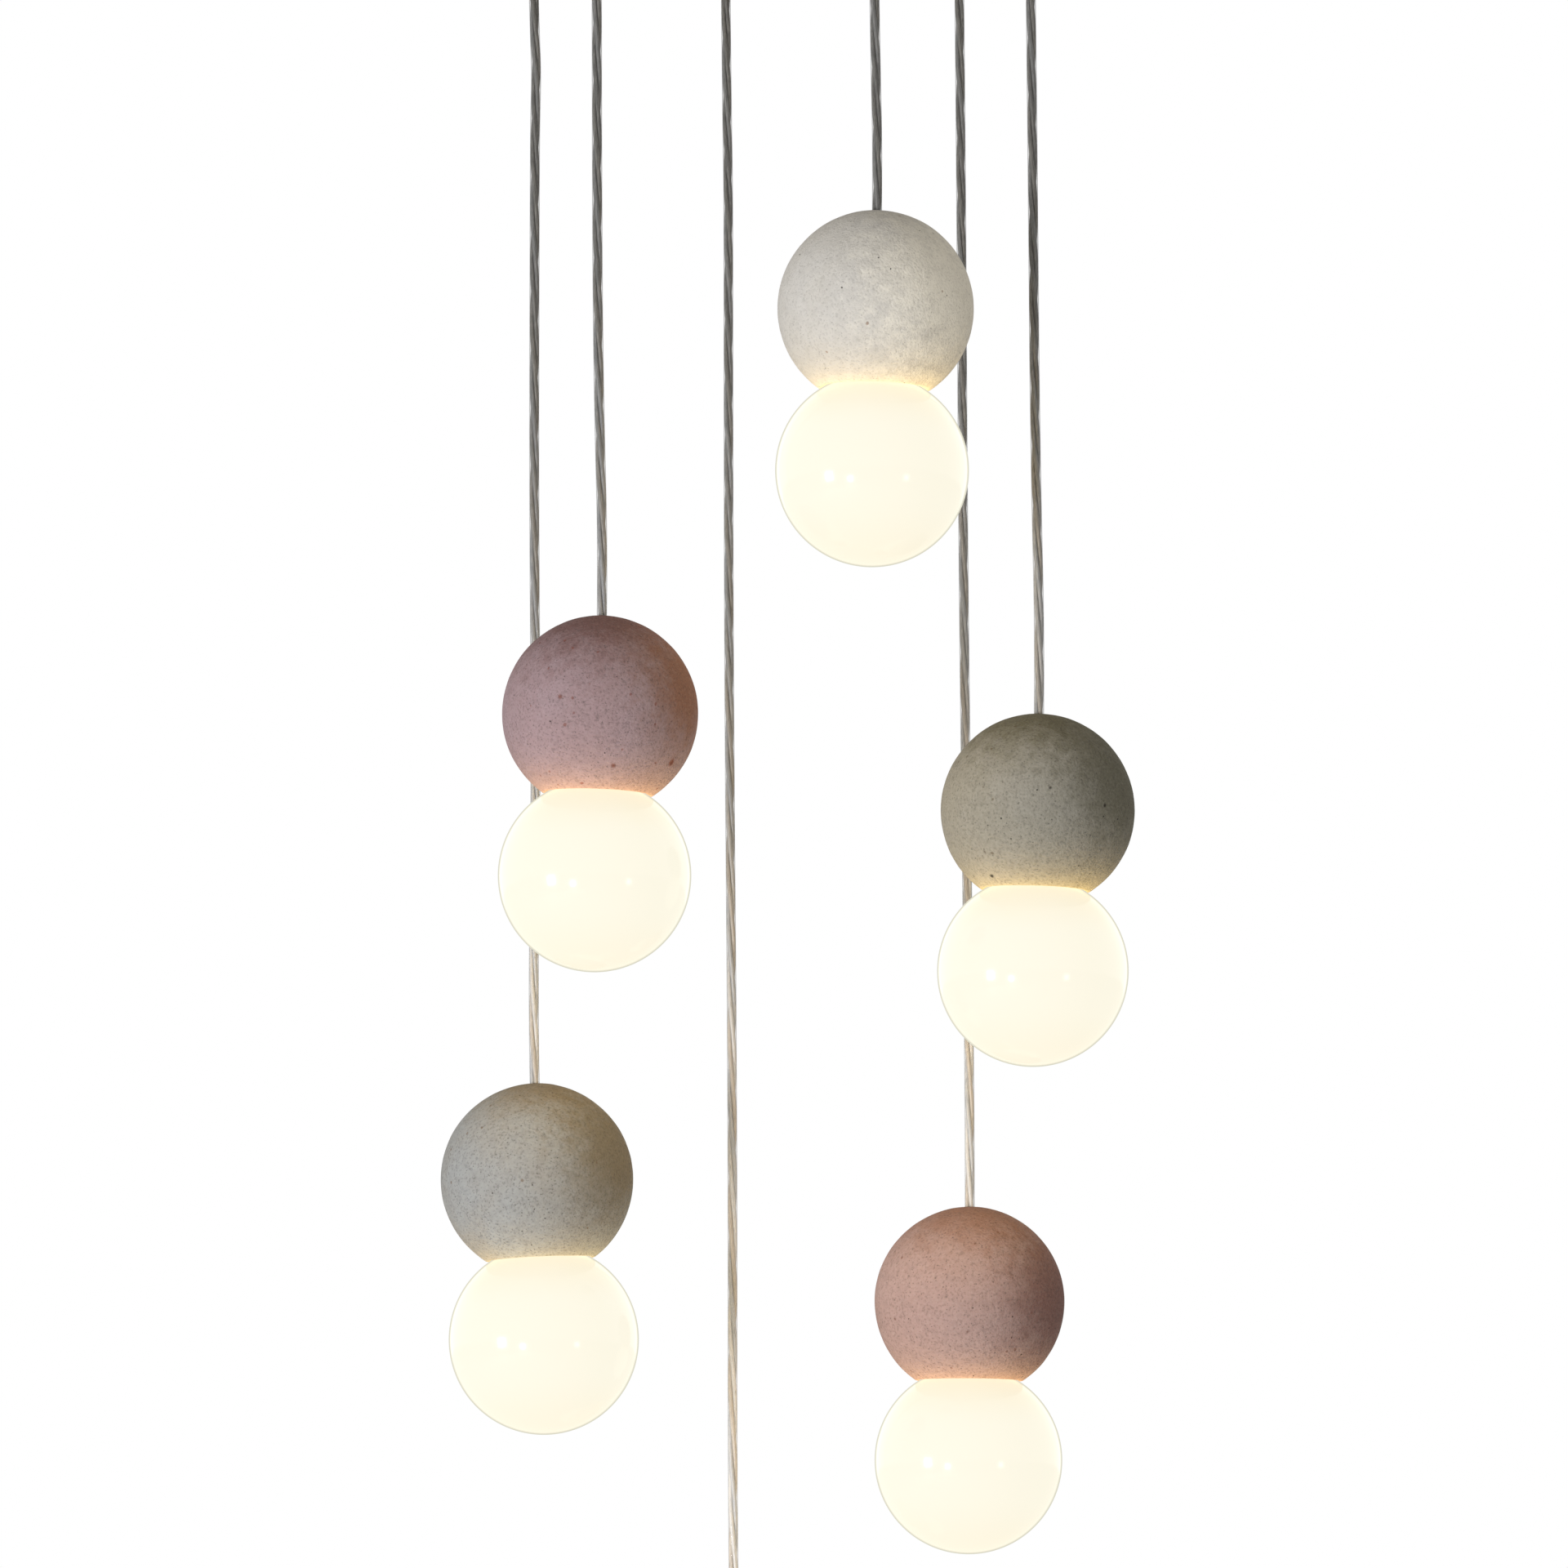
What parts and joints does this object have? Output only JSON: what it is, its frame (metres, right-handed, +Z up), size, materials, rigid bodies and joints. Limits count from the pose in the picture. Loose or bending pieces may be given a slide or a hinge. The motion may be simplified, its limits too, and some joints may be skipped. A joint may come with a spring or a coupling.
{
  "type": "multi-pendant ceiling light",
  "caption": "Round ceiling canopy with hanging cords, each carrying a speckled cement ball above a glowing opal glass globe.",
  "frame": {"origin": "on the ceiling, midway between the bracket's two ceiling screws", "axes": "+Z up into the ceiling along the bracket screws, +X to the right and +Y away from the viewer"},
  "size_m": [0.4314, 0.4259, 1.2865],
  "materials": {
    "cement_ivory": "matt speckled cast cement",
    "cement_mauve": "matt speckled cast cement",
    "cement_sage": "matt speckled cast cement",
    "cement_grey": "matt speckled cast cement",
    "cement_rose": "matt speckled cast cement",
    "cement_chalk": "matt speckled cast cement",
    "opal_glass": "glossy opal, lit from inside",
    "cord_jacket": "clear jacket over silver-grey twisted cores",
    "canopy_paint": "satin white powder coat",
    "gland_plastic": "satin white",
    "zinc_steel": "zinc plated",
    "brass_screw": "plain brass",
    "junction_plastic": "moulded grey",
    "terminal_plastic": "moulded cream",
    "fitter_aluminium": "spun",
    "holder_ceramic": "white glazed",
    "lamp_body": "frosted white"
  },
  "bodies": {
    "canopy": {"ceiling_bracket": "zinc_steel", "bracket_studs": "zinc_steel", "canopy_pan": "canopy_paint", "cap_nuts": "canopy_paint", "cord_glands": "gland_plastic", "gland_nuts": "zinc_steel", "cord_tails": "cord_jacket", "junction_box": "junction_plastic", "junction_lid": "junction_plastic", "terminal_block": "terminal_plastic", "earth_screw": "brass_screw"},
    "ivory_pendant": {"ivory_ball": "cement_ivory", "ivory_stem": "zinc_steel", "ivory_stem_nuts": "zinc_steel", "ivory_fitter": "fitter_aluminium", "ivory_lampholder": "holder_ceramic", "ivory_lamp": "lamp_body", "ivory_cord": "cord_jacket"},
    "ivory_glass": {"ivory_globe": "opal_glass"},
    "mauve_pendant": {"mauve_ball": "cement_mauve", "mauve_stem": "zinc_steel", "mauve_stem_nuts": "zinc_steel", "mauve_fitter": "fitter_aluminium", "mauve_lampholder": "holder_ceramic", "mauve_lamp": "lamp_body", "mauve_cord": "cord_jacket"},
    "mauve_glass": {"mauve_globe": "opal_glass"},
    "sage_pendant": {"sage_ball": "cement_sage", "sage_stem": "zinc_steel", "sage_stem_nuts": "zinc_steel", "sage_fitter": "fitter_aluminium", "sage_lampholder": "holder_ceramic", "sage_lamp": "lamp_body", "sage_cord": "cord_jacket"},
    "sage_glass": {"sage_globe": "opal_glass"},
    "grey_pendant": {"grey_ball": "cement_grey", "grey_stem": "zinc_steel", "grey_stem_nuts": "zinc_steel", "grey_fitter": "fitter_aluminium", "grey_lampholder": "holder_ceramic", "grey_lamp": "lamp_body", "grey_cord": "cord_jacket"},
    "grey_glass": {"grey_globe": "opal_glass"},
    "rose_pendant": {"rose_ball": "cement_rose", "rose_stem": "zinc_steel", "rose_stem_nuts": "zinc_steel", "rose_fitter": "fitter_aluminium", "rose_lampholder": "holder_ceramic", "rose_lamp": "lamp_body", "rose_cord": "cord_jacket"},
    "rose_glass": {"rose_globe": "opal_glass"},
    "chalk_pendant": {"chalk_ball": "cement_chalk", "chalk_stem": "zinc_steel", "chalk_stem_nuts": "zinc_steel", "chalk_fitter": "fitter_aluminium", "chalk_lampholder": "holder_ceramic", "chalk_lamp": "lamp_body", "chalk_cord": "cord_jacket"},
    "chalk_glass": {"chalk_globe": "opal_glass"}
  },
  "joints": [
    {"name": "ivory_swing", "type": "hinge", "parent": "canopy", "child": "ivory_pendant", "pos_m": [0.05472, -0.15035, -0.038], "axis": [0.9397, 0.342, 0], "range_deg": [-12, 5]},
    {"name": "ivory_globe_turn", "type": "hinge", "parent": "ivory_pendant", "child": "ivory_glass", "pos_m": [0.05177, -0.15035, -0.39686], "axis": [0.0297, 0, 0.9996], "range_deg": [0, 540]},
    {"name": "mauve_swing", "type": "hinge", "parent": "canopy", "child": "mauve_pendant", "pos_m": [-0.11509, -0.11114, -0.038], "axis": [0.6947, -0.7193, 0], "range_deg": [-12, 5]},
    {"name": "mauve_globe_turn", "type": "hinge", "parent": "mauve_pendant", "child": "mauve_glass", "pos_m": [-0.11891, -0.11114, -0.63993], "axis": [0.0384, 0, 0.9993], "range_deg": [0, 540]},
    {"name": "sage_swing", "type": "hinge", "parent": "canopy", "child": "sage_pendant", "pos_m": [0.15341, -0.04544, -0.038], "axis": [0.284, 0.9588, 0], "range_deg": [-12, 5]},
    {"name": "sage_globe_turn", "type": "hinge", "parent": "sage_pendant", "child": "sage_glass", "pos_m": [0.14959, -0.04544, -0.69463], "axis": [0.0384, 0, 0.9993], "range_deg": [0, 540]},
    {"name": "grey_swing", "type": "hinge", "parent": "canopy", "child": "grey_pendant", "pos_m": [-0.15803, 0.02503, -0.038], "axis": [-0.1564, -0.9877, 0], "range_deg": [-12, 5]},
    {"name": "grey_globe_turn", "type": "hinge", "parent": "grey_pendant", "child": "grey_glass", "pos_m": [-0.15421, 0.02503, -0.91643], "axis": [-0.0384, 0, 0.9993], "range_deg": [0, 540]},
    {"name": "rose_swing", "type": "hinge", "parent": "canopy", "child": "rose_pendant", "pos_m": [0.11195, 0.11432, -0.038], "axis": [-0.7145, 0.6997, 0], "range_deg": [-12, 5]},
    {"name": "rose_globe_turn", "type": "hinge", "parent": "rose_pendant", "child": "rose_glass", "pos_m": [0.11038, 0.11432, -0.98969], "axis": [0.0157, 0, 0.9999], "range_deg": [0, 540]},
    {"name": "chalk_swing", "type": "hinge", "parent": "canopy", "child": "chalk_pendant", "pos_m": [-0.03735, 0.15558, -0.038], "axis": [-0.9724, -0.2334, 0], "range_deg": [-12, 5]},
    {"name": "chalk_globe_turn", "type": "hinge", "parent": "chalk_pendant", "child": "chalk_glass", "pos_m": [-0.03544, 0.15558, -1.22748], "axis": [-0.0192, 0, 0.9998], "range_deg": [0, 540]}
  ]
}
